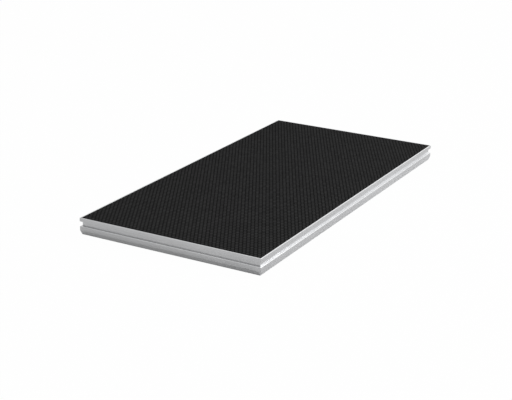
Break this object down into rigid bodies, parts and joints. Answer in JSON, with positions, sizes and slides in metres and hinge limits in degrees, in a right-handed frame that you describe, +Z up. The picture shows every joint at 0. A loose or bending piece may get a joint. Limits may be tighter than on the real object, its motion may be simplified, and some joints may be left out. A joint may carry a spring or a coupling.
{
  "type": "stage riser platform",
  "caption": "Low rectangular stage deck: anti-slip black panel in a grooved aluminium edge frame, with cross beams and corner sockets that clamp leg tubes.",
  "frame": {"origin": "middle of the platform's footprint, on the ground plane of the rails' underside", "axes": "+X along the length, +Y across the width towards the rear rail, +Z up through the deck's top"},
  "size_m": [2, 1, 0.085],
  "materials": {
    "plywood": "birch plywood with a smooth brown film below",
    "antislip_film": "black phenolic film with a raised hexagon grip pattern, satin",
    "seal": "black sealant, matt",
    "rail_aluminium": "mill-finish extrusion with fine lengthwise lines",
    "beam_aluminium": "mill-finish extrusion with fine lengthwise lines",
    "cast_aluminium": "sand-cast, slightly rough",
    "zinc_steel": "zinc-plated steel",
    "clamp_steel": "zinc-plated steel, worn where it's held",
    "pad_brass": "turned brass"
  },
  "bodies": {
    "frame": {"deck_panel": "plywood", "antislip_film": "antislip_film", "edge_seal": "seal", "front_rail": "rail_aluminium", "rear_rail": "rail_aluminium", "left_rail": "rail_aluminium", "right_rail": "rail_aluminium", "cross_beam_left": "beam_aluminium", "cross_beam_centre": "beam_aluminium", "cross_beam_right": "beam_aluminium", "beam_brackets": "beam_aluminium", "bracket_t_bolts": "zinc_steel", "bracket_nuts": "zinc_steel", "beam_through_bolts": "zinc_steel", "beam_lock_nuts": "zinc_steel", "leg_socket_front_left": "cast_aluminium", "leg_socket_front_right": "cast_aluminium", "leg_socket_rear_right": "cast_aluminium", "leg_socket_rear_left": "cast_aluminium", "socket_t_bolts": "zinc_steel", "socket_nuts": "zinc_steel", "deck_screws": "zinc_steel"},
    "pad_front_left": {"thrust_pad_front_left": "pad_brass"},
    "screw_front_left": {"clamp_screw_front_left": "clamp_steel", "tommy_bar_front_left": "clamp_steel"},
    "pad_front_right": {"thrust_pad_front_right": "pad_brass"},
    "screw_front_right": {"clamp_screw_front_right": "clamp_steel", "tommy_bar_front_right": "clamp_steel"},
    "pad_rear_right": {"thrust_pad_rear_right": "pad_brass"},
    "screw_rear_right": {"clamp_screw_rear_right": "clamp_steel", "tommy_bar_rear_right": "clamp_steel"},
    "pad_rear_left": {"thrust_pad_rear_left": "pad_brass"},
    "screw_rear_left": {"clamp_screw_rear_left": "clamp_steel", "tommy_bar_rear_left": "clamp_steel"}
  },
  "joints": [
    {"name": "clamp_feed_front_left", "type": "slide", "parent": "frame", "child": "pad_front_left", "axis": [-0.7071, -0.7071, 0], "range_m": [0, 0.007]},
    {"name": "clamp_turn_front_left", "type": "hinge", "parent": "pad_front_left", "child": "screw_front_left", "pos_m": [-0.87604, -0.37604, 0.038], "axis": [-0.7071, -0.7071, 0], "range_deg": [0, 1440]},
    {"name": "clamp_feed_front_right", "type": "slide", "parent": "frame", "child": "pad_front_right", "axis": [0.7071, -0.7071, 0], "range_m": [0, 0.007]},
    {"name": "clamp_turn_front_right", "type": "hinge", "parent": "pad_front_right", "child": "screw_front_right", "pos_m": [0.87604, -0.37604, 0.038], "axis": [0.7071, -0.7071, 0], "range_deg": [0, 1440]},
    {"name": "clamp_feed_rear_right", "type": "slide", "parent": "frame", "child": "pad_rear_right", "axis": [0.7071, 0.7071, 0], "range_m": [0, 0.007]},
    {"name": "clamp_turn_rear_right", "type": "hinge", "parent": "pad_rear_right", "child": "screw_rear_right", "pos_m": [0.87604, 0.37604, 0.038], "axis": [0.7071, 0.7071, 0], "range_deg": [0, 1440]},
    {"name": "clamp_feed_rear_left", "type": "slide", "parent": "frame", "child": "pad_rear_left", "axis": [-0.7071, 0.7071, 0], "range_m": [0, 0.007]},
    {"name": "clamp_turn_rear_left", "type": "hinge", "parent": "pad_rear_left", "child": "screw_rear_left", "pos_m": [-0.87604, 0.37604, 0.038], "axis": [-0.7071, 0.7071, 0], "range_deg": [0, 1440]}
  ],
  "couplings": [
    {"joint": "clamp_turn_front_left", "follows": "clamp_feed_front_left", "rad_per_m": 3590.4},
    {"joint": "clamp_turn_front_right", "follows": "clamp_feed_front_right", "rad_per_m": 3590.4},
    {"joint": "clamp_turn_rear_right", "follows": "clamp_feed_rear_right", "rad_per_m": 3590.4},
    {"joint": "clamp_turn_rear_left", "follows": "clamp_feed_rear_left", "rad_per_m": 3590.4}
  ]
}
